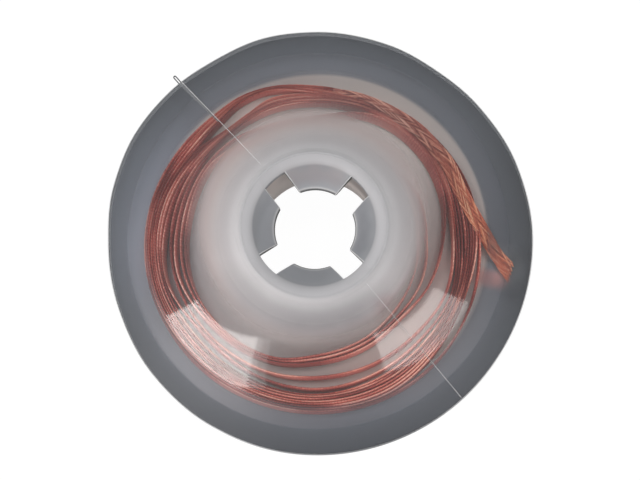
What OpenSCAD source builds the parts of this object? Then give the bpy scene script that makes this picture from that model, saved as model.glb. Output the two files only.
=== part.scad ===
// Desoldering-braid bobbin: two snapped shells round a turning core that carries a
// wound ribbon of copper braid, all held in a shrink film.
// Millimetres. The rear face lies on z = 0, the axis is +Z, and the front is up.

/* [Case] */
// Outer diameter of both shells
case_d = 56; // [54:0.5:62]
// Height from the rear face to the top of the boss
case_h = 12.8; // [12.4:0.1:14]
// Wall of the front shell
front_wall = 0.8; // [0.6:0.05:0.9]
// Thickness of the rear shell's disc
rear_wall = 0.9; // [0.7:0.05:1]
// Clear height of the slot round the rim that the braid is pulled out of
rim_slot = 1; // [0.9:0.05:1.4]
// Width of the flat lip round the front shell
lip_w = 3; // [2.5:0.1:3.3]
// Width of the shoulder between the lip and the cone
shoulder_w = 2.8; // [2.4:0.1:3]
// Height that the shoulder climbs
shoulder_h = 1.5; // [1.5:0.1:2]
// Height of the small step between the lip and the shoulder
lip_step = 0.25; // [0.1:0.05:0.4]
// How far the cone's profile dips below a straight line
cone_sag = 0.6; // [0:0.05:0.7]
// Rounding of the shells' outer edges
edge_round = 0.25; // [0.1:0.05:0.28]

/* [Boss and petals] */
// Diameter of the boss's flat crown
boss_d = 18.6; // [18.2:0.1:19.6]
// Fall of the boss's side from the crown to the cone
boss_fall = 0.8; // [0.5:0.1:1.1]
// Width of the boss's sloping side
boss_side = 0.6; // [0.4:0.1:0.9]
// Thickness of the boss above the hub tube
crown_t = 1.5; // [1.3:0.1:1.8]
// Diameter of the mouth, where the petals begin
mouth_d = 14.8; // [14.2:0.1:15.4]
// Depth of the mouth below the crown
mouth_depth = 1.3; // [1.2:0.05:1.45]
// Diameter of the hole between the petals' tips
tip_d = 10.2; // [8.5:0.1:11.5]
// Slope of the petals, in degrees from level
petal_slope = 41; // [30:1:45]
// Number of petals
petals = 4; // [3:1:6]
// Width of the slots between the petals
petal_slot = 2.5; // [1.5:0.1:3]
// Direction of the first slot, in degrees from +X
petal_turn = 40.5; // [0:0.5:89]

/* [Hub] */
// Bore of the hub tube
hub_bore = 16; // [15.8:0.1:16.4]
// Wall of the hub tube
hub_wall = 1; // [0.8:0.05:1.1]
// Depth of the wider throat at the tube's top, which lets the petals bend
throat_depth = 2.3; // [1.5:0.1:3]
// How much wider the throat is than the bore, on each side
throat_step = 0.3; // [0.1:0.05:0.4]
// Length of the front shell's collar round the tube
collar_h = 2; // [1.6:0.1:2.4]
// Wall of the collar
collar_wall = 0.8; // [0.6:0.05:0.9]
// Height of the snap bead on the tube
bead_h = 0.15; // [0.1:0.05:0.2]
// Clearance between the tube and the collar
snap_clear = 0.05; // [0.03:0.01:0.08]
// Relief under the rear shell's margin, where the film folds under
margin_relief = 0.3; // [0.25:0.05:0.35]
// Width of that margin
margin_w = 3.5; // [3:0.1:5]
// Chamfer at the mouth of the bore
bore_chamfer = 0.3; // [0.1:0.05:0.5]

/* [Winding core] */
// Outer diameter of the core
core_d = 25.2; // [24.6:0.1:25.4]
// Clearance between the top of the core and the front shell
core_gap = 0.55; // [0.4:0.05:1.5]
// Wall of the core's drum and sleeve
core_wall = 0.9; // [0.7:0.05:1]
// Running clearance between the core's sleeve and the hub tube
core_clear = 0.3; // [0.1:0.05:0.35]
// Clearance under the core and under the braid
floor_clear = 0.15; // [0.1:0.05:0.2]

/* [Braid] */
// Width of the braid
braid_w = 2; // [1.5:0.1:2.1]
// Thickness of the braid
braid_t = 0.28; // [0.2:0.01:0.29]
// Whole turns in the winding
coil_turns = 7; // [4:1:8]
// How far the winding reaches out under the shoulder
coil_reach = 0.1; // [0:0.05:0.3]
// Direction of the slack side, where the turns bunch away from the core, in degrees
slack_angle = 185; // [0:1:359]
// Gap between the turns where they bunch
bunch_gap = 0.46; // [0.46:0.01:0.55]
// Direction of the taut side, in degrees
taut_angle = 45; // [0:1:359]
// How far the last turn is drawn in on the taut side
coil_draw = 2.2; // [0:0.1:2.4]
// Clearance between the core and the first turn
coil_clear = 0.35; // [0.25:0.05:0.35]
// Direction in which the inner end comes out of the core, in degrees
inner_angle = 45; // [0:1:90]
// Direction at which the tail leaves the winding, in degrees
tail_angle = 30; // [0:1:90]
// How tightly the core's slit pinches the inner end
pinch = 0.05; // [0.02:0.01:0.08]
// Length of the tail
tail_l = 14.9; // [10:0.1:16]
// Width of the tail's frayed end
fray_w = 3; // [2.2:0.1:3.4]
// Length over which the end frays
fray_l = 3.5; // [2:0.1:5]

/* [Film] */
// Thickness of the shrink film
film_t = 0.15; // [0.08:0.01:0.2]
// Width of the film's fold under the rear margin
film_fold = 2.5; // [1:0.1:2.9]
// How far the film laps onto the crown
film_lap = 0.4; // [0.1:0.05:0.6]
// Direction of the film's weld seam, in degrees
seam_angle = 131; // [90:1:180]
// Width of the weld seam
seam_w = 0.3; // [0.2:0.05:0.5]
// Height of the weld seam
seam_h = 0.12; // [0.05:0.01:0.2]
// Length of the ear that the seam leaves at the rim
ear_l = 1.2; // [0.8:0.1:1.6]
// Width of the ear
ear_w = 0.6; // [0.5:0.05:0.8]
// Height of the ear
ear_h = 0.8; // [0.5:0.1:1.2]

/* [Hidden] */
$fn = 96;
eps = 0.01;

// Case
case_r = case_d / 2;
lip_top = rear_wall + rim_slot + front_wall;
lip_r = case_r - lip_w;
cone_foot_r = lip_r - shoulder_w;
cone_foot_z = lip_top + shoulder_h;
boss_r = boss_d / 2;
cone_top_r = boss_r + boss_side;
cone_top_z = case_h - boss_fall;
cone_run = cone_foot_r - cone_top_r;
cone_fall = (cone_top_z - cone_foot_z) / cone_run;
round_steps = 6;
cone_steps = 10;

// Boss and petals
mouth_r = mouth_d / 2;
mouth_z = case_h - mouth_depth;
crown_in_r = boss_r - film_lap;
tip_r = tip_d / 2;
tip_z = mouth_z - (mouth_r - tip_r) * tan(petal_slope);
seat_z = case_h - crown_t;
crown_steps = 12;

// Hub
hub_r = hub_bore / 2;
tube_r = hub_r + hub_wall;
throat_z = seat_z - throat_depth;
collar_in = tube_r + snap_clear;
collar_out = collar_in + collar_wall;
collar_z = seat_z - collar_h;
bead_z = seat_z - collar_h / 2;
margin_r = case_r - margin_w;

// Winding core
core_r = core_d / 2;
core_in = tube_r + core_clear;
core_z = rear_wall + floor_clear;
core_top = min(collar_z, cone_under(core_r - core_wall / 2)) - core_gap;

// Braid
rings_a_turn = 24;
ribbon_bevel = 0.85;
braid_z = rear_wall + floor_clear + braid_w / 2;
first_r = core_r + coil_clear + braid_t / 2;
last_r = cone_foot_r + coil_reach - braid_t / 2;
coil_sweep = 360 * coil_turns + inner_angle - tail_angle;
coil_rings = floor(coil_sweep / 360 * rings_a_turn);
coil_slack = coil_out(slack_angle) - first_r - (braid_t + bunch_gap) * coil_sweep / 360;
end_run = 0.6;
bend_r = 0.45;
bend_steps = 4;
slit_in = core_wall + end_run;
slit_top = core_z + braid_w + 2 * floor_clear;

// Tail
tail_steps = 16;
twist_start = 0;
twist_end = 0.62;
slot_mid = rear_wall + rim_slot / 2;

// Film
fold_z = margin_relief;

function arc(cx, cz, rx, rz, a0, a1, n) =
  [for (i = [0:n]) let (a = a0 + (a1 - a0) * i / n) [cx + rx * cos(a), cz + rz * sin(a)]];

function unit(v) = v / norm(v);

// Corner b of the line a-b-c, moved by w to the right-hand side of the way from a to c
function inset(a, b, c, w) =
  let (
    p = unit(b - a),
    q = unit(c - b),
    m = [p[1], -p[0]],
    n = [q[1], -q[0]]
  )
  b + w * (m + n) / (1 + m * n);

function smooth(x) = x <= 0 ? 0 : x >= 1 ? 1 : x * x * (3 - 2 * x);

// Height and steepness of the cone's dipping outer face, and height of its inner face, at radius r
function cone_share(r) = (r - cone_top_r) / cone_run;
function cone_z(r) =
  cone_top_z - cone_fall * (r - cone_top_r) - 4 * cone_sag * cone_share(r) * (1 - cone_share(r));
function cone_slope(r) = cone_fall + 4 * cone_sag / cone_run * (1 - 2 * cone_share(r));
function cone_under(r) = cone_z(r) - front_wall * sqrt(1 + pow(cone_slope(r), 2));

// Height of the crown's rounded inner side at radius r
function crown_z(r) =
  mouth_z + mouth_depth * sqrt(max(0, 1 - pow((crown_in_r - r) / (crown_in_r - mouth_r), 2)));

// --- Front shell -----------------------------------------------------------------

module crown_ring() {
  foot_in = cone_foot_r - front_wall * shoulder_h / norm([shoulder_w, shoulder_h]);
  lip_in = inset([cone_foot_r, cone_foot_z], [lip_r, lip_top], [case_r, lip_top], front_wall);
  rotate_extrude()
    polygon(concat(
      [[hub_r, seat_z]],
      [for (i = [0:crown_steps])
        let (r = hub_r + (crown_in_r - hub_r) * sin(90 * i / crown_steps)) [r, crown_z(r)]],
      [[boss_r, case_h]],
      [for (i = [0:cone_steps])
        let (r = cone_top_r + cone_run * i / cone_steps) [r, cone_z(r)]],
      [[lip_r - lip_step / 3, lip_top + lip_step], [lip_r, lip_top]],
      arc(case_r - edge_round, lip_top - edge_round, edge_round, edge_round, 90, 0, round_steps),
      arc(case_r - edge_round, lip_top - front_wall + edge_round,
        edge_round, edge_round, 0, -90, round_steps),
      [lip_in],
      [for (i = [cone_steps:-1:0])
        let (r = collar_out + (foot_in - collar_out) * i / cone_steps) [r, cone_under(r)]],
      [[collar_out, collar_z], [collar_in, collar_z]],
      [
        [collar_in, bead_z - 2 * bead_h],
        [collar_in + bead_h, bead_z],
        [collar_in, bead_z + 2 * bead_h],
        [collar_in, seat_z]
      ]
    ));
}

module petal_ring() {
  drop = (hub_r - tip_r) * tan(petal_slope);
  difference() {
    rotate_extrude()
      polygon(concat(
        [[tip_r, seat_z - drop], [tip_r, tip_z]],
        [for (i = [0:crown_steps])
          let (r = mouth_r + (hub_r - mouth_r) * (1 - cos(90 * i / crown_steps))) [r, crown_z(r)]],
        [[hub_r + 0.2, crown_z(hub_r)], [hub_r + 0.2, seat_z], [hub_r, seat_z]]
      ));
    intersection() {
      translate([0, 0, tip_z - case_h])
        cylinder(h = 3 * case_h, r = hub_r);
      for (i = [0:petals - 1])
        rotate([0, 0, petal_turn + i * 360 / petals])
          translate([0, -petal_slot / 2, 0])
            cube([hub_r + 1, petal_slot, case_h + 1]);
    }
  }
}

module front_shell() {
  color([0.72, 0.74, 0.77, 0.8])
    union() {
      crown_ring();
      petal_ring();
    }
}

// --- Rear shell ------------------------------------------------------------------

module rear_shell() {
  color([0.6, 0.62, 0.65, 0.8])
    rotate_extrude()
      polygon(concat(
        [[hub_r, bore_chamfer], [hub_r + bore_chamfer, 0], [margin_r, 0]],
        [[margin_r + margin_relief, margin_relief]],
        [[case_r - edge_round, margin_relief], [case_r, margin_relief + edge_round]],
        arc(case_r - edge_round, rear_wall - edge_round, edge_round, edge_round, 0, 90, round_steps),
        [
          [tube_r, rear_wall],
          [tube_r, bead_z - 2 * bead_h],
          [tube_r + bead_h, bead_z],
          [tube_r, bead_z + 2 * bead_h],
          [tube_r, seat_z]
        ],
        [
          [hub_r + throat_step, seat_z],
          [hub_r + throat_step, throat_z],
          [hub_r, throat_z - throat_step]
        ]
      ));
}

// --- Winding core ----------------------------------------------------------------

module winding_core() {
  color([0.9, 0.9, 0.9])
    difference() {
      rotate_extrude()
        polygon([
          [core_in, core_z],
          [core_in + core_wall, core_z],
          [core_in + core_wall, core_top - core_wall],
          [core_r - core_wall, core_top - core_wall],
          [core_r - core_wall, core_z],
          [core_r, core_z],
          [core_r, core_top - core_wall / 2],
          [core_r - core_wall / 2, core_top],
          [core_in, core_top]
        ]);
      rotate([0, 0, inner_angle])
        translate([core_r - core_wall - eps, -(braid_t - pinch) / 2, core_z - 1])
          cube([core_wall + 1, braid_t - pinch, slit_top - core_z + 1]);
    }
}

// --- Braid -----------------------------------------------------------------------

// A ribbon's six-sided section at point p, across the level direction n; turned tips its
// upper edge inward, from standing on edge (0) to lying flat (90)
function section(p, n, w, t, turned = 0) =
  let (
    across = n * cos(turned) + [0, 0, 1] * sin(turned),
    along = [0, 0, 1] * cos(turned) - n * sin(turned),
    outline = [
      [0, 1], [1, ribbon_bevel], [1, -ribbon_bevel],
      [0, -1], [-1, -ribbon_bevel], [-1, ribbon_bevel]
    ]
  )
  [for (q = outline) p + across * q[0] * t / 2 + along * q[1] * w / 2];

module ribbon(sections) {
  sides = 6;
  last = len(sections) - 1;
  polyhedron(
    points = [for (s = sections) for (p = s) p],
    faces = concat(
      [for (i = [1:sides - 2]) [0, i + 1, i]],
      [for (k = [0:last - 1]) for (i = [0:sides - 1])
        let (a = k * sides + i, b = k * sides + (i + 1) % sides) [a, b, a + sides]],
      [for (k = [0:last - 1]) for (i = [0:sides - 1])
        let (a = k * sides + i, b = k * sides + (i + 1) % sides) [b, b + sides, a + sides]],
      [for (i = [1:sides - 2]) [last * sides, last * sides + i, last * sides + i + 1]]
    )
  );
}

// The way along the winding: out of the core, round the bend and outwards clockwise
function outward(a) = [cos(a), sin(a), 0];
function clockwise(a) = [sin(a), -cos(a), 0];

// Radius of the winding's inner and outer limits in direction a: the inner turns lie on the
// core and swing out on the slack side, the outer ones are drawn in on the taut side
function coil_in(a) = first_r + coil_slack * pow((1 + cos(a - slack_angle)) / 2, 1.5);
function coil_out(a) = last_r - coil_draw * (1 + cos(a - taut_angle)) / 2;

bend_mid = (coil_in(inner_angle) - bend_r) * outward(inner_angle) + bend_r * clockwise(inner_angle);
turn_angle = inner_angle - asin(bend_r / coil_in(inner_angle));

function coil_a(i) = turn_angle + (tail_angle - 360 * coil_turns - turn_angle) * i / coil_rings;
function coil_r(i) =
  let (a = coil_a(i))
  coil_in(a) + (coil_out(a) - coil_in(a)) * i / coil_rings;

coil_lead = [
  section((core_r - slit_in) * outward(inner_angle) + [0, 0, braid_z],
    -clockwise(inner_angle), braid_w, braid_t),
  for (i = [0:bend_steps - 1])
    let (n = cos(90 * i / bend_steps) * -clockwise(inner_angle)
        + sin(90 * i / bend_steps) * outward(inner_angle))
      section(bend_mid + bend_r * n + [0, 0, braid_z], n, braid_w, braid_t)
];
coil_loops = [
  for (i = [0:coil_rings])
    section(coil_r(i) * outward(coil_a(i)) + [0, 0, braid_z], outward(coil_a(i)), braid_w, braid_t)
];
coil_stop =
  coil_out(tail_angle) * outward(tail_angle) + end_run * clockwise(tail_angle) + [0, 0, braid_z];

// Least gap between neighbouring turns, measured at the rings and half-way between them
coil_gaps = [
  for (i = [0:0.5:coil_rings - rings_a_turn - 1])
    let (
      low = floor(i),
      here = (coil_r(low) * outward(coil_a(low)) + coil_r(ceil(i)) * outward(coil_a(ceil(i)))) / 2,
      next = low + rings_a_turn,
      p = coil_r(next) * outward(coil_a(next)),
      q = coil_r(next + 1) * outward(coil_a(next + 1)),
      side = unit([q[1] - p[1], p[0] - q[0], 0])
    )
    abs((here - p) * side) - braid_t
];

module braid_coil() {
  echo(least_gap_between_turns = min(coil_gaps), rings = coil_rings);
  color([0.72, 0.42, 0.32])
    ribbon(concat(
      coil_lead,
      coil_loops,
      [section(coil_stop, outward(tail_angle), braid_w, braid_t)]
    ));
}

// The tail runs straight on, turns flat, sinks to the slot's middle and frays at its end
module braid_tail() {
  color([0.8, 0.45, 0.3])
    ribbon([
      for (i = [0:tail_steps])
        let (
          f = i / tail_steps,
          turned = 90 * smooth((f - twist_start) / (twist_end - twist_start)),
          frayed = smooth((f * tail_l - tail_l + fray_l) / fray_l),
          rise = (slot_mid - braid_z) * (1 - cos(turned)),
          p = coil_stop + f * tail_l * clockwise(tail_angle) + [0, 0, rise]
        )
        section(p, outward(tail_angle), braid_w + (fray_w - braid_w) * frayed, braid_t, turned)
    ]);
}

// --- Film ------------------------------------------------------------------------

module film_skin() {
  r = case_r + film_t;
  lift = film_t / cos(atan((case_h - lip_top) / (case_r - boss_r)));
  rotate_extrude()
    polygon([
      [crown_in_r, case_h],
      [boss_r, case_h],
      [case_r, lip_top],
      [case_r, fold_z],
      [case_r - film_fold, fold_z],
      [case_r - film_fold, fold_z - film_t],
      [r, fold_z - film_t],
      [r, lip_top],
      [case_r, lip_top + lift],
      [boss_r, case_h + lift],
      [crown_in_r, case_h + lift]
    ]);
}

// The weld ridge down the cone and the rim, in the half plane of direction a
module film_seam(a) {
  run = case_r - boss_r;
  fall = (case_h - lip_top) / run;
  rotate([90, 0, a])
    linear_extrude(height = seam_w, center = true)
      polygon([
        [boss_r, case_h + film_t / 2],
        [boss_r, case_h + film_t + seam_h],
        [case_r + film_t + seam_h, lip_top + film_t + seam_h - (film_t + seam_h) * fall],
        [case_r + film_t + seam_h, fold_z],
        [case_r + film_t / 2, fold_z],
        [case_r + film_t / 2, lip_top]
      ]);
}

module film_ear() {
  hole_w = ear_w - 2 * film_t;
  rotate([0, 0, seam_angle])
    translate([case_r + film_t / 2, 0, lip_top - ear_h])
      linear_extrude(height = ear_h)
        difference() {
          union() {
            translate([0, -ear_w / 2])
              square([ear_l - ear_w / 2, ear_w]);
            translate([ear_l - ear_w / 2, 0])
              circle(d = ear_w, $fn = 24);
          }
          union() {
            translate([film_t / 2 + seam_h + film_t, -hole_w / 2])
              square([ear_l - ear_w / 2 - film_t * 1.5 - seam_h, hole_w]);
            translate([ear_l - ear_w / 2, 0])
              circle(d = hole_w, $fn = 24);
          }
        }
}

module shrink_film() {
  color([0.85, 0.87, 0.9, 0.3])
    union() {
      film_skin();
      film_seam(seam_angle);
      film_seam(seam_angle + 180);
      film_ear();
    }
}

front_shell();
rear_shell();
winding_core();
braid_coil();
braid_tail();
shrink_film();
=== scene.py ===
import math
import random

import bmesh
import bpy
from mathutils import Matrix, Vector


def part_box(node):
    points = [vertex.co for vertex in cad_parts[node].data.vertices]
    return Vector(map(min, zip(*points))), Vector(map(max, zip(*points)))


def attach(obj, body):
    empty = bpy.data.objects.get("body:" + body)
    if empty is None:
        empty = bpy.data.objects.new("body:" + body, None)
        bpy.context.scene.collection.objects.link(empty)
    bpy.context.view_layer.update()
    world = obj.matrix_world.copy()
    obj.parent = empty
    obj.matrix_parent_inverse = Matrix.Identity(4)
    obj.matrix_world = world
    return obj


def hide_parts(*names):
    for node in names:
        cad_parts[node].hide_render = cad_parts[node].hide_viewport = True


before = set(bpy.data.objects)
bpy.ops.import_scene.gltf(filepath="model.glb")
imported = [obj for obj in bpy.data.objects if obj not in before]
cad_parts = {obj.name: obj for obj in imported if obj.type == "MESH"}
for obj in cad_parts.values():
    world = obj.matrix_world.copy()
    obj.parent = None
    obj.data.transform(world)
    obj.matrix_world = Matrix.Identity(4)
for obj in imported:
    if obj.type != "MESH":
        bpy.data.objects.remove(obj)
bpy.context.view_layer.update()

# Desoldering-braid bobbin. Sizes are in millimetres until a mesh is made; the axis is +Z,
# the rear face lies on z = 0 and the front faces up. Directions are in degrees from +X.
MM = 0.001
UP = Vector((0, 0, 1))

# ---- Case: a size that a node's box gives is taken from the frame ----
CASE_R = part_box("rear_shell")[1].x / MM
BOSS_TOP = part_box("front_shell")[1].z / MM
SEAT_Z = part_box("rear_shell")[1].z / MM
CORE_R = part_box("winding_core")[1].x / MM
WALL = 0.8
REAR_WALL = 0.9

# The slot at the rim, the lip over it, and the shoulder from the lip up to the cone's foot
RIM_SLOT_H = 1.0
LIP_UNDER = REAR_WALL + RIM_SLOT_H
LIP_TOP = LIP_UNDER + WALL
LIP_R = CASE_R - 3.0
STEP_H = 0.25
FOOT_R = LIP_R - 2.8
FOOT_Z = LIP_TOP + 1.5
# How far in the lip's and the cone's undersides end from the corners above them
LIP_INSET = 0.2
ROOF_INSET = 0.4

# The cone, which sags between its foot and the boss
CONE_TOP_R = 9.9
CONE_TOP_Z = BOSS_TOP - 0.8
CONE_SAG = 0.6

# The boss's flat crown, and the sprung petals that slope down from it to their tips, between
# straight slots; PETAL_TURN is the first slot's direction
CROWN_R = 9.3
CROWN_IN_R = 9.0
MOUTH_R = 7.4
MOUTH_Z = BOSS_TOP - 1.3
TIP_R = 5.1
PETAL_SLOPE = math.radians(41)
TIP_Z = MOUTH_Z - (MOUTH_R - TIP_R) * math.tan(PETAL_SLOPE)
PETALS = 4
PETAL_SLOT = 3.2
PETAL_TURN = 40.5
SLOT_END_R = 7.75
# Places on a petal's side, from its edge in: (distance, how much lower the top is there)
PETAL_CHAMFER = [(0.0, 0.13), (0.05, 0.04), (0.13, 0.0)]

# The hub tube of the rear shell, and the collar that snaps over it
HUB_R = 8.0
HUB_CHAMFER = 0.3
TUBE_R = 9.0
TUBE_FILLET = 0.3
THROAT_R = 8.05
THROAT_Z = SEAT_Z - 2.3
COLLAR_GAP = 0.05
COLLAR_R = 9.85
COLLAR_Z = SEAT_Z - 2.0

# The margin of the rear face, which the film's edge covers
MARGIN_R = CASE_R - 3.5
MARGIN_Z = 0.3

# Roundings of the mouldings
CUT_ROUND = 0.12
STEP_ROUND = 0.08
CROWN_ROUND = 0.25
EDGE_ROUND = 0.3
UNDER_ROUND = 0.25
REAR_ROUND = 0.2
SEAT_ROUND = 0.05

# Where the shrunk film has pulled the thin rim in: (direction, depth)
RIM_DENTS = [
    (0, 0.0), (20, 0.2), (40, 0.5), (54, 0.65), (70, 0.4), (90, 0.2), (105, 0.05), (120, 0.3), (135, 0.1),
    (150, 0.0), (165, 0.2), (182, 0.58), (200, 0.55), (220, 0.3), (240, 0.1), (260, 0.0), (360, 0.0),
]
DENT_FROM_R = 22.0

# ---- Film ----
FILM_T = 0.12
FILM_GAP = 0.02
FILM_FOLD = 2.5
SEAM_ANGLE = 131.0
SEAM_END_R = CASE_R - 0.1
# Ridges on the film: (direction, inner radius, width there, width at the rim, height)
SEAM = (SEAM_ANGLE, 19.2, 0.15, 0.5, 0.03)
CREASES = [(SEAM_ANGLE - 0.5, 10.2, 0.07, 0.11, 0.06), (SEAM_ANGLE + 180.5, 9.9, 0.06, 0.08, 0.05)]
# How deep a ridge's foot lies in the film, and its top's share of its width
RIDGE_SINK = 0.02
RIDGE_TOP_SHARE = 0.4
# The ear: a loop of rolled film at the seam's end, taller in section than wide
EAR_HALF_W = 0.16
EAR_FROM_R = CASE_R - 0.4
EAR_TO_R = CASE_R + 1.1
EAR_Z = LIP_TOP - 0.25
EAR_ROLL_R = 0.085
EAR_ROLL_TALL = 2.2


# ---- Meshes ----
def make_piece(name, verts, faces, material, body, sharp_deg=35.0):
    """A smooth-shaded mesh object from points in millimetres, riding on a CAD body."""
    mesh = bpy.data.meshes.new(name)
    mesh.from_pydata([(x * MM, y * MM, z * MM) for x, y, z in verts], [], faces)
    shape = bmesh.new()
    shape.from_mesh(mesh)
    bmesh.ops.recalc_face_normals(shape, faces=shape.faces)
    shape.to_mesh(mesh)
    shape.free()
    mesh.shade_smooth()
    mesh.set_sharp_from_angle(angle=math.radians(sharp_deg))
    mesh.materials.append(material)
    piece = bpy.data.objects.new(name, mesh)
    bpy.context.scene.collection.objects.link(piece)
    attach(piece, body)
    return piece


def heading(direction):
    """Level unit vectors outward in a direction, and a quarter turn further round."""
    a = math.radians(direction)
    return Vector((math.cos(a), math.sin(a), 0)), Vector((-math.sin(a), math.cos(a), 0))


def spread(a, b, steps):
    return [a + (b - a) * i / steps for i in range(steps + 1)]


def smooth_step(x):
    x = min(1.0, max(0.0, x))
    return x * x * (3 - 2 * x)


def between(stops, x):
    """Value at x of a list of (position, value), eased from stop to stop."""
    if x <= stops[0][0]:
        return stops[0][1]
    for (x0, y0), (x1, y1) in zip(stops, stops[1:]):
        if x <= x1:
            return y0 + (y1 - y0) * smooth_step((x - x0) / (x1 - x0))
    return stops[-1][1]


def through(points, x):
    """Smooth value at x through (x, y) points in order of rising x."""
    i = 0
    while i < len(points) - 2 and points[i + 1][0] < x:
        i += 1
    (x1, y1), (x2, y2) = points[i], points[i + 1]
    h = x2 - x1
    t = (x - x1) / h
    before = points[i - 1] if i else (x1 - h, 2 * y1 - y2)
    after = points[i + 2] if i + 2 < len(points) else (x2 + h, 2 * y2 - y1)
    m1 = (y2 - before[1]) / (x2 - before[0])
    m2 = (after[1] - y1) / (after[0] - x1)
    return ((2 * t**3 - 3 * t**2 + 1) * y1 + (t**3 - 2 * t**2 + t) * h * m1
            + (3 * t**2 - 2 * t**3) * y2 + (t**3 - t**2) * h * m2)


def dented(verts):
    """Points of a case piece, with the rim pulled in as the film has left it."""
    out = []
    for x, y, z in verts:
        r = math.hypot(x, y)
        if r > DENT_FROM_R:
            angle = math.degrees(math.atan2(y, x)) % 360
            pull = between(RIM_DENTS, angle) * smooth_step((r - DENT_FROM_R) / (CASE_R - DENT_FROM_R))
            x, y = x * (1 - pull / r), y * (1 - pull / r)
        out.append((x, y, z))
    return out


def rounded(outline, steps=5):
    """A closed outline of (r, z, rounding) with its corners turned into arcs."""
    points = []
    for i, (r, z, size) in enumerate(outline):
        here = Vector((r, z))
        before = Vector(outline[i - 1][:2]) - here
        after = Vector(outline[(i + 1) % len(outline)][:2]) - here
        reach = min(size, 0.45 * before.length, 0.45 * after.length)
        if reach <= 0:
            points.append((r, z))
            continue
        a = here + before.normalized() * reach
        b = here + after.normalized() * reach
        for t in spread(0, 1, steps):
            p = a.lerp(here, t).lerp(here.lerp(b, t), t)
            points.append((p.x, p.y))
    return points


def revolve(outline, segments=288):
    """Points and faces of a closed outline turned round the axis."""
    verts = []
    for s in range(segments):
        a = 2 * math.pi * s / segments
        verts += [(r * math.cos(a), r * math.sin(a), z) for r, z in outline]
    n = len(outline)
    faces = [
        (s * n + i, (s + 1) % segments * n + i, (s + 1) % segments * n + (i + 1) % n, s * n + (i + 1) % n)
        for s in range(segments) for i in range(n)
    ]
    return verts, faces


def loft(rings):
    """Points and faces of a closed tube through rings of equally many points."""
    n = len(rings[0])
    verts = [tuple(p) for ring in rings for p in ring]
    faces = [
        (k * n + i, k * n + (i + 1) % n, (k + 1) * n + (i + 1) % n, (k + 1) * n + i)
        for k in range(len(rings) - 1) for i in range(n)
    ]
    last = (len(rings) - 1) * n
    faces.append(tuple(range(n - 1, -1, -1)))
    faces.append(tuple(range(last, last + n)))
    return verts, faces


def join(*parts):
    """Several (points, faces) as one."""
    verts, faces = [], []
    for v, f in parts:
        base = len(verts)
        verts += v
        faces += [tuple(base + i for i in face) for face in f]
    return verts, faces


# ---- Shader nodes ----
# Scale of object coordinates that gives level places in millimetres
LEVEL_IN_MM = (1 / MM, 1 / MM, 0)
# Radius at the end of a radial ramp
RAMP_SPAN = 30.0
# Share of a patch's reach where it has its full strength
PATCH_CORE = 0.25
MILK_ROUGHNESS = 0.6


def new_material(name):
    mat = bpy.data.materials.new(name)
    mat.use_nodes = True
    mat.node_tree.nodes.clear()
    return mat, mat.node_tree


def add(tree, kind, **settings):
    node = tree.nodes.new(kind)
    for key, value in settings.items():
        setattr(node, key, value)
    return node


def feed(tree, socket, value):
    """Link an output to a socket, or set the socket to a plain value."""
    if isinstance(value, bpy.types.NodeSocket):
        tree.links.new(value, socket)
    else:
        socket.default_value = value


def feed_all(tree, node, **values):
    """Feed a node's sockets by name, with _ for each space, and give the node back."""
    for name, value in values.items():
        feed(tree, node.inputs[name.replace("_", " ")], value)
    return node


def math_node(tree, operation, a, b=0.0):
    node = add(tree, "ShaderNodeMath", operation=operation)
    feed(tree, node.inputs[0], a)
    feed(tree, node.inputs[1], b)
    return node.outputs[0]


def vector_node(tree, operation, a, b):
    node = add(tree, "ShaderNodeVectorMath", operation=operation)
    feed(tree, node.inputs[0], a)
    feed(tree, node.inputs[1], b)
    return node


def part_node(tree, vector, part):
    """One of a vector's X, Y and Z."""
    node = add(tree, "ShaderNodeSeparateXYZ")
    tree.links.new(vector, node.inputs[0])
    return node.outputs[part]


def weighted(tree, value, weight, other, other_weight):
    return math_node(tree, "ADD", math_node(tree, "MULTIPLY", value, weight),
                     math_node(tree, "MULTIPLY", other, other_weight))


def switch(tree, value, start, end, to_min=0.0, to_max=1.0):
    """Soft step of a value between start and end."""
    node = add(tree, "ShaderNodeMapRange", interpolation_type="SMOOTHSTEP")
    feed_all(tree, node, Value=value, From_Min=start, From_Max=end, To_Min=to_min, To_Max=to_max)
    return node.outputs[0]


def mix_colour(tree, share, a, b):
    node = add(tree, "ShaderNodeMix", data_type="RGBA")
    feed(tree, node.inputs[0], share)
    a_in, b_in = [s for s in node.inputs if s.type == "RGBA"]
    feed(tree, a_in, a)
    feed(tree, b_in, b)
    return next(s for s in node.outputs if s.type == "RGBA")


def mix_shader(tree, share, a, b):
    node = add(tree, "ShaderNodeMixShader")
    feed(tree, node.inputs[0], share)
    tree.links.new(a, node.inputs[1])
    tree.links.new(b, node.inputs[2])
    return node.outputs[0]


def object_coords(tree):
    return add(tree, "ShaderNodeTexCoord").outputs["Object"]


def face_normal(tree):
    return add(tree, "ShaderNodeNewGeometry").outputs["Normal"]


def radius_node(tree, coords, centre=(0, 0)):
    """Distance in millimetres from an upright line, which is the axis unless moved."""
    flat = vector_node(tree, "MULTIPLY", coords, LEVEL_IN_MM)
    return vector_node(tree, "DISTANCE", flat.outputs[0], (*centre, 0)).outputs["Value"]


def flatness_node(tree):
    """How level a face is, from 0 where it stands upright to 1."""
    return math_node(tree, "ABSOLUTE", part_node(tree, face_normal(tree), "Z"))


def srgb(r, g, b):
    """Linear colour of a colour given in 0-255 sRGB."""
    def linear(c):
        c /= 255
        return c / 12.92 if c <= 0.04045 else ((c + 0.055) / 1.055) ** 2.4
    return (linear(r), linear(g), linear(b), 1.0)


def grey(v):
    return (v, v, v, 1.0)


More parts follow.
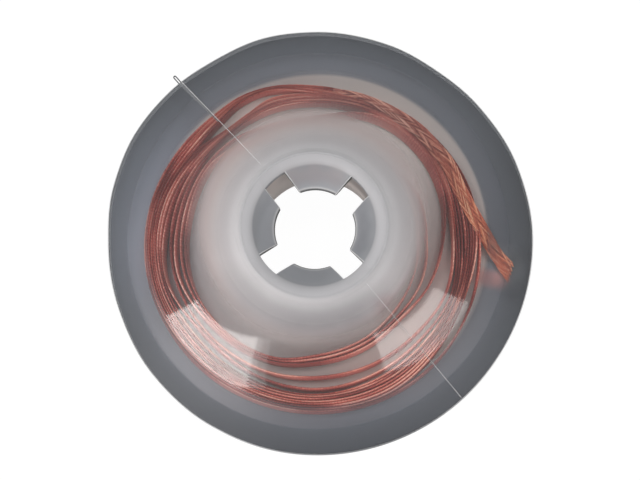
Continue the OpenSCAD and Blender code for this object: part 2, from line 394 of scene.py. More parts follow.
def ramp(tree, value, stops, span=1.0):
    """Colour of a value, from (position, linear colour or plain level) stops."""
    stops = [(position / span, grey(tone) if isinstance(tone, float) else tone) for position, tone in stops]
    node = add(tree, "ShaderNodeValToRGB")
    elements = node.color_ramp.elements
    elements[0].position, elements[0].color = stops[0]
    elements[1].position, elements[1].color = stops[-1]
    for position, colour in stops[1:-1]:
        elements.new(position).color = colour
    tree.links.new(math_node(tree, "DIVIDE", value, span), node.inputs[0])
    return node.outputs["Color"]


def radial(tree, radius, stops):
    """Colour of a place from stops by radius, in millimetres."""
    return ramp(tree, radius, stops, RAMP_SPAN)


def patched(tree, colour, coords, patches):
    """The colour, mixed softly towards each patch's own colour round its centre."""
    for tint, centre, reach, strength in patches:
        away = vector_node(tree, "DISTANCE", coords, Vector(centre) * MM).outputs["Value"]
        near = switch(tree, away, reach * MM, PATCH_CORE * reach * MM, 0.0, strength)
        colour = mix_colour(tree, near, colour, tint)
    return colour


def mottled(tree, colour, coords, scale, amount):
    """The colour, made lighter and darker in soft patches."""
    noise = feed_all(tree, add(tree, "ShaderNodeTexNoise"), Vector=coords, Scale=scale, Detail=3)
    level = add(tree, "ShaderNodeMapRange")
    feed_all(tree, level, Value=noise.outputs["Fac"], To_Min=1 - amount, To_Max=1 + amount)
    shaded = add(tree, "ShaderNodeVectorMath", operation="SCALE")
    feed(tree, shaded.inputs[0], colour)
    feed(tree, shaded.inputs["Scale"], level.outputs[0])
    return shaded.outputs[0]


def finish_surface(tree, shader):
    out = add(tree, "ShaderNodeOutputMaterial")
    tree.links.new(shader, out.inputs["Surface"])


def clear_skin(tree, colour, opacity, roughness, ior=1.45, gloss=1.0, tint=None):
    """See-through plastic: milky body by opacity, Fresnel gloss, and backs that let all light by."""
    body = add(tree, "ShaderNodeBsdfPrincipled")
    feed_all(tree, body, Base_Color=colour, Roughness=MILK_ROUGHNESS, Specular_IOR_Level=0.0)
    clear = add(tree, "ShaderNodeBsdfTransparent")
    if tint:
        tree.links.new(tint, clear.inputs["Color"])
    milky = mix_shader(tree, opacity, clear.outputs[0], body.outputs[0])
    shine = feed_all(tree, add(tree, "ShaderNodeBsdfGlossy"), Roughness=roughness)
    fresnel = feed_all(tree, add(tree, "ShaderNodeFresnel"), IOR=ior)
    share = math_node(tree, "MULTIPLY", fresnel.outputs[0], gloss)
    coated = mix_shader(tree, share, milky, shine.outputs[0])
    back = add(tree, "ShaderNodeNewGeometry").outputs["Backfacing"]
    finish_surface(tree, mix_shader(tree, back, coated, add(tree, "ShaderNodeBsdfTransparent").outputs[0]))


# ---- Looks of the plastics ----
# Soft mottle of each plastic: (scale, amount)
FRONT_MOTTLE = (90, 0.04)
SOLID_MOTTLE = (120, 0.05)
FILM_MOTTLE = (300, 0.1)

# The front plastic by radius, from the petals' tips to the rim, with painted light and shade in it:
# a painted dark line and a painted highlight on the tips' walls, petals painted lighter towards their
# steep tips, and the cone painted lighter just outside the crown, against the shading of both
FRONT_TONES = [
    (5.15, srgb(92, 94, 96)), (5.22, srgb(206, 208, 210)), (5.32, srgb(206, 208, 210)),
    (5.42, srgb(160, 163, 169)), (6.2, srgb(152, 155, 161)), (7.0, srgb(142, 145, 150)),
    (7.65, srgb(138, 140, 144)), (7.85, srgb(172, 172, 175)), (8.2, srgb(182, 182, 185)),
    (9.2, srgb(184, 184, 187)), (9.6, srgb(199, 198, 200)), (10.4, srgb(198, 196, 198)),
    (11.4, srgb(190, 186, 188)), (12.5, srgb(186, 180, 181)), (14.0, srgb(184, 170, 168)),
    (21.9, srgb(186, 174, 172)), (22.2, srgb(140, 144, 152)), (24.8, srgb(140, 144, 152)),
    (24.95, srgb(86, 92, 101)), (28.0, srgb(82, 88, 97)),
]
FRONT_OPACITY = [
    (5.0, 0.97), (10.4, 0.95), (11.4, 0.85), (12.4, 0.35), (13.2, 0.02), (21.9, 0.02), (22.2, 0.12),
    (24.8, 0.12), (24.95, 0.4), (28.0, 0.4),
]
FRONT_ROUGHNESS = [
    (5.0, 0.5), (10.5, 0.45), (12.5, 0.25), (14.0, 0.06), (22.0, 0.06), (22.3, 0.5), (28.0, 0.5),
]
# The shoulder is smokier than the cone
SMOKE = (0.74, 0.765, 0.8, 1)
FRONT_TINT = [(21.9, 1.0), (22.2, SMOKE), (28.0, SMOKE)]
# Milkiness of the cone round the boss, which lies a little off centre
HAZE_CENTRE = (-0.4, 1.2)
HAZE = [(12.6, 0.88), (13.6, 0.78), (14.4, 0.52), (15.2, 0.24), (16.2, 0.07), (18.0, 0.02)]
# Gloss by how level the surface is: upright walls have next to none
FRONT_GLOSS = [(0.2, 0.05), (0.6, 1.0)]
FRONT_IOR = 1.58


def patches(colour, reach, strength, *centres):
    """Local shades of one colour: (colour, centre, reach, strength) for each centre."""
    return [(colour, centre, reach, strength) for centre in centres]


FRONT_PATCHES = [
    # A painted copper-coloured glow on the cone: painted light from the braid under it
    *patches(srgb(150, 92, 90), 2.6, 0.4, (8.3, -9.2, 8.5)),
    # Painted warm light on the petal at the top
    *patches(srgb(158, 149, 150), 2.3, 0.45, (-2.7, 6.5, 11.2), (0.0, 6.9, 11.2), (2.7, 6.5, 11.2)),
    # Painted shade on the lip on the right
    *patches(srgb(46, 51, 59), 19.0, 0.75, (28.0, 1.0, LIP_TOP)),
    # Painted shade on the petal on the right
    *patches(srgb(108, 111, 117), 2.3, 0.5, (6.0, -2.4, 10.9), (6.4, 0.0, 10.9), (6.0, 2.4, 10.9)),
]
# Painted shade at the foot of the milky cone on the low side: it is greyer there, and shows less through it
LOW_CORE_R = 12.0
LOW_CORE_Z = 9.3
LOW_CORE = [
    (LOW_CORE_R * math.cos(a), LOW_CORE_R * math.sin(a), LOW_CORE_Z)
    for a in map(math.radians, range(220, 310, 12))
]
FRONT_PATCHES += patches(srgb(108, 109, 113), 5.0, 0.25, *LOW_CORE)
# The braid's end lies against the lip, which is clear there
WINDOW_AT = (24.9, -4.1, LIP_TOP)
WINDOW_REACH = 3.8
OPACITY_PATCHES = [
    *patches(grey(0.85), 4.6, 0.3, *LOW_CORE),
    *patches(grey(0.0), WINDOW_REACH, 1.0, WINDOW_AT),
]
# What is seen through the plastic on the left is painted lighter and bluish: a painted reflection of the
# lamps on the left
TINT_PATCHES = [
    *patches((0.93, 0.96, 1.0, 1), 26, 0.85, (-24, -10, 3)),
    *patches(grey(1.0), WINDOW_REACH, 0.9, WINDOW_AT),
]

# The sides of the petals: their chamfers get a painted highlight, and their upright walls painted shade.
# A face is a chamfer or a wall by how much it looks sideways, from 0 to 1.
PETAL_EDGE_R = 8.6
CHAMFER_FROM = 0.3
UPRIGHT_FROM = 0.85
CHAMFER_HIGHLIGHT = srgb(214, 216, 218)
UPRIGHT_SHADE = srgb(104, 106, 104)

# The rear plastic by radius: cream inside the braid, painted lighter against the front shell's shade, grey
# outside
REAR_TONES = [
    (8.0, srgb(190, 178, 172)), (12.0, srgb(206, 202, 200)), (18.0, srgb(210, 203, 198)),
    (22.2, srgb(212, 204, 198)), (22.6, srgb(140, 143, 150)), (25.0, srgb(130, 133, 140)),
    (28.0, srgb(96, 100, 106)),
]
REAR_ROUGHNESS = 0.45
REAR_PATCHES = [
    # A painted pink reflection of the copper beside the braid's end
    *patches(srgb(222, 150, 142), 1.8, 0.55, (21.2, -5.0, REAR_WALL), (22.6, -5.3, REAR_WALL),
             (24.0, -5.5, REAR_WALL)),
    # The hub tube's wall, seen through the upper right slot, painted dark brown: painted shade in the
    # recess
    *patches(srgb(92, 74, 68), 4.6, 0.95, (6.4, 4.9, 7.5)),
    # Painted bluish reflection on the left of the floor: lighter over the grey rim, greyer over the cream
    *patches(srgb(172, 179, 192), 18.0, 0.6, (-25.0, 5.0, REAR_WALL)),
    # Painted shade on the floor round the braid's end
    *patches(srgb(66, 70, 78), 3.2, 0.8, (26.6, -3.2, REAR_WALL), (26.0, -6.4, REAR_WALL)),
]
CORE_TONE = srgb(186, 183, 186)
CORE_ROUGHNESS = 0.5

# The film by how level it is: it is painted dark and dull where it turns down over the rim, a painted shade
FILM_TONES = [(0.2, srgb(70, 74, 80)), (0.75, srgb(205, 207, 210))]
FILM_OPACITY = [(0.2, 0.8), (0.75, 0.01)]
FILM_GLOSS = [(0.2, 0.04), (0.8, 1.0)]
FILM_ROUGHNESS = 0.5
FILM_IOR = 1.4
# Inside this radius the film is clear, however its edge stands
FILM_CLEAR_R = 22.0
# Where film is creased, welded or rolled: (colour, opacity)
# The creases are milky and painted near white: a painted highlight along them
CREASE_LOOK = (srgb(250, 250, 252), 0.5)
SEAM_LOOK = (srgb(190, 193, 196), 0.26)
EAR_LOOK = (srgb(70, 73, 77), 0.95)
WELD_ROUGHNESS = 0.3
WELD_GLOSS = 0.5


def petal_highlight_and_shade(tree, coords, radius):
    """Masks of the painted highlight on the petals' chamfers and the painted shade on their upright
    walls, by how far a face looks round the axis.
    """
    outward = vector_node(tree, "MULTIPLY", coords, LEVEL_IN_MM).outputs[0]
    turned = vector_node(tree, "CROSS_PRODUCT", outward, face_normal(tree)).outputs[0]
    sideways = math_node(tree, "ABSOLUTE", part_node(tree, turned, "Z"))
    sideways = math_node(tree, "DIVIDE", sideways, radius)
    inner = math_node(tree, "LESS_THAN", radius, PETAL_EDGE_R)
    return [math_node(tree, "MULTIPLY", math_node(tree, "GREATER_THAN", sideways, limit), inner)
            for limit in (CHAMFER_FROM, UPRIGHT_FROM)]


def front_material():
    mat, tree = new_material("front_plastic")
    coords = object_coords(tree)
    radius = radius_node(tree, coords)
    colour = patched(tree, radial(tree, radius, FRONT_TONES), coords, FRONT_PATCHES)
    # Painted highlight on the petals' chamfers and painted shade on their upright walls
    chamfer, upright = petal_highlight_and_shade(tree, coords, radius)
    colour = mix_colour(tree, chamfer, colour, CHAMFER_HIGHLIGHT)
    colour = mix_colour(tree, upright, colour, UPRIGHT_SHADE)
    colour = mottled(tree, colour, coords, *FRONT_MOTTLE)
    haze = radial(tree, radius_node(tree, coords, HAZE_CENTRE), HAZE)
    opacity = math_node(tree, "MAXIMUM", radial(tree, radius, FRONT_OPACITY), haze)
    opacity = patched(tree, opacity, coords, OPACITY_PATCHES)
    roughness = radial(tree, radius, FRONT_ROUGHNESS)
    tint = patched(tree, radial(tree, radius, FRONT_TINT), coords, TINT_PATCHES)
    gloss = ramp(tree, flatness_node(tree), FRONT_GLOSS)
    clear_skin(tree, colour, opacity, roughness, FRONT_IOR, gloss, tint)
    return mat


def solid_material(name, stops, roughness, local_shades=()):
    """Plastic that nothing shows through, coloured by radius."""
    mat, tree = new_material(name)
    coords = object_coords(tree)
    colour = patched(tree, radial(tree, radius_node(tree, coords), stops), coords, local_shades)
    colour = mottled(tree, colour, coords, *SOLID_MOTTLE)
    body = feed_all(tree, add(tree, "ShaderNodeBsdfPrincipled"), Base_Color=colour, Roughness=roughness)
    finish_surface(tree, body.outputs[0])
    return mat


def film_material():
    mat, tree = new_material("film_clear")
    coords = object_coords(tree)
    inside = math_node(tree, "LESS_THAN", radius_node(tree, coords), FILM_CLEAR_R)
    level = math_node(tree, "MAXIMUM", flatness_node(tree), inside)
    colour = mottled(tree, ramp(tree, level, FILM_TONES), coords, *FILM_MOTTLE)
    opacity = ramp(tree, level, FILM_OPACITY)
    clear_skin(tree, colour, opacity, FILM_ROUGHNESS, FILM_IOR, ramp(tree, level, FILM_GLOSS))
    return mat


def weld_material(name, colour, opacity):
    """Film that is creased, welded or rolled, and so shows more."""
    mat, tree = new_material(name)
    colour = mottled(tree, colour[:3], object_coords(tree), *FILM_MOTTLE)
    clear_skin(tree, colour, opacity, WELD_ROUGHNESS, gloss=WELD_GLOSS)
    return mat


# ---- Looks of the copper ----
# Copper tones: edges reach lighter tones, a painted highlight, and faces are painted lighter and redder
# against the shade between the turns; the tail's start takes the edges' tones too
EDGE_SHADES = [
    (0.2, srgb(120, 56, 52)), (0.4, srgb(174, 94, 84)), (0.6, srgb(220, 144, 126)),
    (0.8, srgb(248, 194, 174)),
]
FACE_SHADES = [(0.2, srgb(162, 66, 60)), (0.45, srgb(206, 98, 90)), (0.7, srgb(234, 142, 128))]
WIRE_SHADES = [
    (0.1, srgb(126, 50, 38)), (0.4, srgb(204, 104, 76)), (0.65, srgb(240, 150, 112)),
    (0.9, srgb(255, 214, 174)),
]
UV_NAME = "braid"
COPPER_ROUGHNESS = 0.4
COPPER_METALLIC = 0.3
SPECK_SCALE = 2500
SPECK_SHARE = 0.3
# The weave on the wound ribbon: length of its repeat, and how far a strand slants over the width
WEAVE_LAY = 0.8
WEAVE_SLANT = 9.0
WEAVE_SHARE = 0.12
WEAVE_BUMP = 0.4
WEAVE_DEPTH = 0.03
# Each stretch of the ribbon has a tone of its own, so neighbouring turns differ
STRETCH_SCALE = 0.06
STRETCH_SHARE = 1.9
TONE_DROP = 0.6
# Where the ribbon's face turns into its edge, as a share of its half width
RIDGE_FROM = 0.82
# The tail's wires: the part of the tone that is a wire's own, and where along the tail they are
# painted brighter, as painted light
WIRE_SHARE = 0.7
TAIL_LIGHT_FROM = 10.0
TAIL_LIGHT_TO = 26.0


def copper_parts(name):
    """A plain copper material: its tree, shader, map places along and across, and fine specks."""
    mat, tree = new_material(name)
    specks = feed_all(tree, add(tree, "ShaderNodeTexNoise"), Vector=object_coords(tree), Scale=SPECK_SCALE)
    body = add(tree, "ShaderNodeBsdfPrincipled")
    feed_all(tree, body, Roughness=COPPER_ROUGHNESS, Metallic=COPPER_METALLIC)
    place = add(tree, "ShaderNodeSeparateXYZ")
    tree.links.new(add(tree, "ShaderNodeUVMap", uv_map=UV_NAME).outputs[0], place.inputs[0])
    finish_surface(tree, body.outputs[0])
    return mat, tree, body, place.outputs["X"], place.outputs["Y"], specks.outputs["Fac"]


def woven_material():
    """The wound ribbon: crossing strands, painted highlight on its edges, painted light on its redder
    faces.
    """
    mat, tree, body, x, y, specks = copper_parts("copper_woven")
    along = math_node(tree, "MULTIPLY", x, 2 * math.pi / WEAVE_LAY)
    across = math_node(tree, "MULTIPLY", y, WEAVE_SLANT)
    weave = math_node(tree, "MULTIPLY", math_node(tree, "SINE", math_node(tree, "ADD", along, across)),
                      math_node(tree, "SINE", math_node(tree, "SUBTRACT", along, across)))
    stretch = add(tree, "ShaderNodeTexNoise", noise_dimensions="1D")
    feed_all(tree, stretch, W=x, Scale=STRETCH_SCALE, Detail=2)
    tone = weighted(tree, specks, SPECK_SHARE, stretch.outputs["Fac"], STRETCH_SHARE)
    tone = math_node(tree, "SUBTRACT", tone, TONE_DROP)
    tone = weighted(tree, tone, 1.0, weave, WEAVE_SHARE)
    # The edges take the painted highlight, the faces the painted light against the shade between the turns
    ridge = switch(tree, math_node(tree, "ABSOLUTE", y), RIDGE_FROM, 1.0)
    colour = mix_colour(tree, ridge, ramp(tree, tone, FACE_SHADES), ramp(tree, tone, EDGE_SHADES))
    bump = add(tree, "ShaderNodeBump")
    feed_all(tree, bump, Height=weave, Strength=WEAVE_BUMP, Distance=WEAVE_DEPTH * MM)
    feed_all(tree, body, Base_Color=colour, Normal=bump.outputs[0])
    return mat


def wire_material():
    """The tail's wires, each with its own tone, painted brighter towards the tail's end as painted light.
    """
    mat, tree, body, x, y, specks = copper_parts("copper_wires")
    tone = weighted(tree, specks, SPECK_SHARE, x, WIRE_SHARE)
    # Painted light along the tail towards its end
    tail_light = switch(tree, y, TAIL_LIGHT_FROM, TAIL_LIGHT_TO)
    colour = mix_colour(tree, tail_light, ramp(tree, tone, EDGE_SHADES), ramp(tree, tone, WIRE_SHADES))
    feed_all(tree, body, Base_Color=colour)
    return mat


# ---- Shells ----
def cone_z(r):
    """Height of the cone's outer face over radius r."""
    share = (r - CONE_TOP_R) / (FOOT_R - CONE_TOP_R)
    return CONE_TOP_Z + (FOOT_Z - CONE_TOP_Z) * share - 4 * CONE_SAG * share * (1 - share)


def roof(r):
    """Underside of the front shell over radius r."""
    if r < FOOT_R:
        step = 0.01
        slope = (cone_z(r - step) - cone_z(r + step)) / (2 * step)
        return cone_z(r) - WALL * math.hypot(1, slope)
    slope = (FOOT_Z - LIP_TOP) / (LIP_R - FOOT_R)
    return FOOT_Z - slope * (r - FOOT_R) - WALL * math.hypot(1, slope)


def crown_z(r):
    """Height of the funnel that the petals and the boss make, level at its outer edge."""
    share = (min(r, CROWN_IN_R) - TIP_R) / (CROWN_IN_R - TIP_R)
    return TIP_Z + (BOSS_TOP - TIP_Z) * math.sin(math.pi / 2 * share)


def surface(height, radii, first_round):
    """Outline points on a surface of given height, with the first of them rounded."""
    return [(r, height(r), 0 if k else first_round) for k, r in enumerate(radii)]


def front_ring():
    tube_clear_r = TUBE_R + COLLAR_GAP
    return revolve(rounded([
        (SLOT_END_R, SEAT_Z, 0),
        *surface(crown_z, spread(SLOT_END_R, CROWN_IN_R, 10), CUT_ROUND),
        (CROWN_R, BOSS_TOP, CROWN_ROUND),
        *surface(cone_z, spread(CONE_TOP_R, FOOT_R, 40), EDGE_ROUND),
        (LIP_R - STEP_H / 3, LIP_TOP + STEP_H, STEP_ROUND),
        (LIP_R, LIP_TOP, STEP_ROUND),
        (CASE_R, LIP_TOP, EDGE_ROUND),
        (CASE_R, LIP_UNDER, UNDER_ROUND),
        (LIP_R - LIP_INSET, LIP_UNDER, 0),
        *surface(roof, spread(FOOT_R - ROOF_INSET, COLLAR_R, 12), 0),
        (COLLAR_R, COLLAR_Z, 0),
        (tube_clear_r, COLLAR_Z, 0),
        (tube_clear_r, SEAT_Z, 0),
    ]))


def petal_outline(inset):
    """Section of a petal, from its tip up its top face to the crown and back underneath."""
    overlap = 0.01
    root_rise = 0.05
    root_r = CROWN_IN_R - 0.1
    tip_r = TIP_R + inset
    return rounded([
        *surface(lambda r: crown_z(r) + overlap - inset, spread(tip_r, root_r, 16), CUT_ROUND),
        (root_r, SEAT_Z + root_rise, 0),
        (HUB_R, SEAT_Z + inset, 0),
        (tip_r, SEAT_Z - (HUB_R - tip_r) * math.tan(PETAL_SLOPE) + inset, CUT_ROUND),
    ], 3)


def petal(first, last, columns=40):
    """One sprung tongue between two slots; first and last are the slots' directions."""
    sides = [(0.0, d, inset) for d, inset in PETAL_CHAMFER]
    sides += [(share, 0.0, 0.0) for share in spread(0, 1, columns)[1:-1]]
    sides += [(1.0, -d, inset) for d, inset in reversed(PETAL_CHAMFER)]
    rings = []
    for share, shift, inset in sides:
        ring = []
        for r, z in petal_outline(inset):
            slot = math.degrees(math.asin(PETAL_SLOT / 2 / r))
            a = math.radians(first + slot + (last - first - 2 * slot) * share) + shift / r
            ring.append((r * math.cos(a), r * math.sin(a), z))
        rings.append(ring)
    return loft(rings)


def front_moulding():
    step = 360 / PETALS
    tongues = [petal(PETAL_TURN + k * step, PETAL_TURN + (k + 1) * step) for k in range(PETALS)]
    verts, faces = join(front_ring(), *tongues)
    piece = make_piece("front_moulding", dented(verts), faces, front_material(), "case")
    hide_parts("front_shell")


def rear_moulding():
    floor_r = spread(CASE_R - 1.5, TUBE_R + TUBE_FILLET, 12)
    verts, faces = revolve(rounded([
        (HUB_R, HUB_CHAMFER, 0),
        (HUB_R + HUB_CHAMFER, 0, 0),
        (MARGIN_R, 0, 0),
        (MARGIN_R + MARGIN_Z, MARGIN_Z, SEAT_ROUND),
        (CASE_R, MARGIN_Z, REAR_ROUND),
        (CASE_R, REAR_WALL, REAR_ROUND),
        *surface(lambda r: REAR_WALL, floor_r, 0),
        (TUBE_R, REAR_WALL + TUBE_FILLET, 0),
        (TUBE_R, SEAT_Z, SEAT_ROUND),
        (THROAT_R, SEAT_Z, SEAT_ROUND),
        (THROAT_R, THROAT_Z, 0),
        (HUB_R, THROAT_Z - HUB_CHAMFER, 0),
    ]))
    material = solid_material("rear_plastic", REAR_TONES, REAR_ROUGHNESS, REAR_PATCHES)
    piece = make_piece("rear_moulding", dented(verts), faces, material, "case")
    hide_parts("rear_shell")


def core_finish():
    """The core stays the CAD's own solid, and gets its look here."""
    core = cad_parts["winding_core"]
    core.data.materials.clear()
    stops = [(TUBE_R, CORE_TONE), (CORE_R, CORE_TONE)]
    core.data.materials.append(solid_material("core_plastic", stops, CORE_ROUGHNESS))


# ---- Film ----
def film_z(r):
    """Height of the film's outer face, which runs straight from the crown to the rim."""
    return BOSS_TOP + FILM_GAP + FILM_T + (LIP_TOP - BOSS_TOP) * (r - CROWN_R) / (CASE_R - CROWN_R)


def film_skin():
    inner_r = CROWN_IN_R + FILM_GAP
    inner_top = BOSS_TOP + FILM_GAP
    rim_top = LIP_TOP + FILM_GAP
    fold_r = CASE_R - FILM_FOLD
    verts, faces = revolve(rounded([
        (inner_r, inner_top, 0),
        (CROWN_R, inner_top, 0.1),
        (CASE_R + FILM_GAP, rim_top, 0.2),
        (CASE_R + FILM_GAP, MARGIN_Z - FILM_GAP, 0.1),
        (fold_r, MARGIN_Z - FILM_GAP, 0),
        (fold_r, MARGIN_Z - FILM_T, 0),
        (CASE_R + FILM_T, MARGIN_Z - FILM_T, 0.15),
        (CASE_R + FILM_T, rim_top, 0.3),
        (CROWN_R + 0.1, inner_top + FILM_T, 0.2),
        (inner_r, inner_top + FILM_T, 0),
    ]))
    piece = make_piece("film_skin", dented(verts), faces, film_material(), "case")
    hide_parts("shrink_film")


def film_ridge(direction, from_r, width0, width1, height):
    """A flat ridge on the film's cone, from a radius out to the rim."""
    out, side = heading(direction)
    rings = []
    for r in spread(from_r, SEAM_END_R, 24):
        half = side * (width0 + (width1 - width0) * (r - from_r) / (SEAM_END_R - from_r)) / 2
        foot = out * r + UP * (film_z(r) - RIDGE_SINK)
        top = foot + UP * (height + RIDGE_SINK)
        rings.append([foot - half, foot + half, top + half * RIDGE_TOP_SHARE, top - half * RIDGE_TOP_SHARE])
    return loft(rings)


def film_seam():
    verts, faces = join(*[film_ridge(*crease) for crease in CREASES])
    line = weld_material("film_line", *CREASE_LOOK)
    make_piece("film_creases", dented(verts), faces, line, "case")
    verts, faces = film_ridge(*SEAM)
    weld = weld_material("film_weld", *SEAM_LOOK)
    make_piece("film_seam", dented(verts), faces, weld, "case")


def film_ear():
    """The loop of film that the seam leaves at the rim."""
    out, side = heading(SEAM_ANGLE)
    bend_r = EAR_TO_R - EAR_HALF_W
    route = [(r, EAR_HALF_W) for r in spread(EAR_FROM_R, bend_r, 6)]
    route += [(bend_r + EAR_HALF_W * math.sin(a), EAR_HALF_W * math.cos(a))
              for a in map(math.radians, range(20, 180, 20))]
    route += [(r, -EAR_HALF_W) for r in spread(bend_r, EAR_FROM_R, 6)]
    path = [out * r + side * s + UP * EAR_Z for r, s in route]
    rings = []
    for k, p in enumerate(path):
        ahead = (path[min(k + 1, len(path) - 1)] - path[max(k - 1, 0)]).normalized()
        across = Vector((-ahead.y, ahead.x, 0)) * EAR_ROLL_R
        tall = UP * (EAR_ROLL_TALL * EAR_ROLL_R)
        rings.append([p + across * math.cos(b) + tall * math.sin(b)
                      for b in map(math.radians, range(0, 360, 45))])
    verts, faces = loft(rings)
    loop = weld_material("film_loop", *EAR_LOOK)
    make_piece("film_ear", verts, faces, loop, "case")


# ---- Braid: the winding ----
RIBBON_W = 2.0
RIBBON_T = 0.32
RIBBON_MIN_T = 0.12
# Share of the room between two turns that the ribbon fills where it is pressed thinner
RIBBON_FILL = 0.97
# Height of the floor that it stands over, and its clearances to floor and roof
RIBBON_FLOOR = 0.94
FLOOR_GAP = 0.02
ROOF_GAP = 0.06
RING_STEP = 0.2
# Whole turns, and where past them, in degrees of travel, the ribbon goes over into the tail
TURNS = 12
END_TRAVEL = 360 * TURNS + 282
# The turns wander in radius, by so much and at two rates per degree of travel
WANDER_R = 0.05
WANDER_RATES = (0.031, 0.0077)
# Slack turns rise off the floor, apart from about LIFT_CLEAR degrees either side of
# START_ANGLE, where the tail lies on them
LIFT_H = 0.4
LIFT_RATE = 0.0193
LIFT_CLEAR = 50
# The ribbon's inner end: its direction, the bend out of the core, and how deep it is held
START_ANGLE = 45.0
LEAD_BEND = 0.45
LEAD_GRIP = 0.9
# The ribbon's section: how square its two axes are, and how far the strands stand out
FLAT_POWER = 0.5
TALL_POWER = 0.75
STRAND_RELIEF = 0.14
STRAND_SLANT = 4.5
EDGE_RELIEF = 0.04
SECTION_SHARE = 0.98

# The winding at directions round the axis, clockwise from where it starts: how far the ribbon
# leans outward, in degrees, and (turn, radius) pairs; turns between two pairs are evenly spaced.
STATIONS = [
    (45, 30, [(0, 13.0), (1, 13.3), (2, 17.8), (12, 19.8)]),
    (22, 22, [(0, 12.95), (1, 14.0), (2, 17.3), (12, 20.45)]),
    (0, 8, [(0, 13.05), (1, 14.2), (2, 16.4), (3, 17.6), (6, 18.7), (7, 19.2), (12, 21.0)]),
    (-23, 5, [(0, 13.45), (1, 14.7), (2, 15.8), (3, 18.2), (4, 18.95), (11, 20.6), (12, 21.7)]),
    (-45, -4, [(0, 13.95), (1, 14.75), (2, 15.15), (3, 18.0), (4, 18.95), (5, 19.5), (11, 21.4),
               (12, 22.35)]),
    (-65, -7, [(0, 14.65), (2, 15.7), (3, 18.1), (4, 19.3), (5, 20.0), (12, 22.65)]),
    (-90, -9, [(0, 15.5), (2, 16.4), (3, 18.3), (4, 19.8), (5, 20.5), (12, 22.7)]),
    (-110, -9, [(0, 16.75), (2, 17.3), (3, 18.7), (4, 19.7), (5, 20.5), (12, 22.7)]),
    (-140, -9, [(0, 17.3), (2, 17.9), (3, 19.0), (4, 19.4), (5, 20.4), (12, 22.7)]),
    (-165, 6, [(0, 17.35), (1, 17.85), (2, 18.7), (3, 19.2), (4, 20.35), (12, 22.65)]),
    (-190, 14, [(0, 17.0), (1, 17.5), (2, 18.2), (3, 18.9), (4, 19.6), (5, 20.1), (12, 22.2)]),
    (-215, 14, [(0, 16.95), (1, 17.35), (2, 18.1), (7, 19.6), (12, 21.5)]),
    (-230, 8, [(0, 16.0), (1, 17.1), (2, 18.1), (7, 18.75), (8, 20.25), (12, 21.3)]),
    (-241, 6, [(0, 15.1), (1, 16.55), (2, 18.2), (7, 18.95), (8, 20.8), (12, 21.45)]),
    (-252, 6, [(0, 13.9), (1, 16.15), (2, 18.25), (7, 19.6), (8, 20.7), (12, 21.15)]),
    (-270, 10, [(0, 13.1), (1, 16.1), (2, 18.1), (12, 20.15)]),
    (-293, 24, [(0, 13.05), (1, 17.6), (2, 18.05), (12, 19.45)]),
]


def station_radius(stops, turn):
    """Radius of a turn at a station; past the last pair the spacing goes on."""
    for (t0, r0), (t1, r1) in zip(stops, stops[1:]):
        if turn <= t1:
            return r0 + (r1 - r0) * (turn - t0) / (t1 - t0)
    (t0, r0), (t1, r1) = stops[-2:]
    return r1 + (r1 - r0) / (t1 - t0) * (turn - t1)


WINDING = [(360 * turn - angle, station_radius(stops, turn)) for turn in range(TURNS + 2)
           for angle, _, stops in STATIONS]
LEANS = [(360 * turn - angle, lean) for turn in (-1, 0, 1) for angle, lean, _ in STATIONS]


def braid_r(travel):
    """Radius of the winding after so many degrees of travel, counted clockwise from +X."""
    fast, slow = WANDER_RATES
    return through(WINDING, travel) + WANDER_R * math.sin(fast * travel) * math.sin(slow * travel)


def braid_state(travel):
    """Radius, height, lean and thickness of the ribbon at a place along the winding."""
    r = braid_r(travel)
    lean = math.radians(through(LEANS, travel % 360))
    pitch = braid_r(travel + 360) - r
    if travel > 360 - START_ANGLE:
        pitch = min(pitch, r - braid_r(travel - 360))
    thick = max(RIBBON_MIN_T, min(RIBBON_T, RIBBON_FILL * pitch * math.cos(lean)))
    from_tail = min((travel + START_ANGLE) % 360, -(travel + START_ANGLE) % 360)
    slack = 1 - math.exp(-((from_tail / LIFT_CLEAR) ** 2))
    lift = LIFT_H * (0.5 + 0.5 * math.sin(LIFT_RATE * travel)) * slack
    half_h = RIBBON_W / 2 * math.cos(lean) + thick / 2 * abs(math.sin(lean)) + FLOOR_GAP
    top_r = r + RIBBON_W / 2 * math.sin(lean)
    z = min(RIBBON_FLOOR + half_h + lift, roof(max(r, top_r)) - ROOF_GAP - half_h)
    return r, z, lean, thick


def ribbon_ring(p, out, lean, thick, travel_mm, sides=12):
    """Section of the woven ribbon: a flat oval whose edges are serrated by the strands' turns."""
    across = out * math.cos(lean) - UP * math.sin(lean)
    along = UP * math.cos(lean) + out * math.sin(lean)
    lay = 2 * math.pi * travel_mm / WEAVE_LAY
    ring = []
    for i in range(sides):
        a = 2 * math.pi * i / sides
        c, s = math.cos(a), math.sin(a)
        flat = math.copysign(abs(c) ** FLAT_POWER, c)
        tall = math.copysign(abs(s) ** TALL_POWER, s)
        relief = 1 + STRAND_RELIEF * math.sin(lay + math.copysign(STRAND_SLANT * tall, flat))
        edge = EDGE_RELIEF * math.sin(lay) * abs(tall) ** 4
        half_w = SECTION_SHARE * RIBBON_W / 2 + edge
        ring.append(p + across * (flat * relief * thick / 2) + along * (tall * half_w))
    return ring


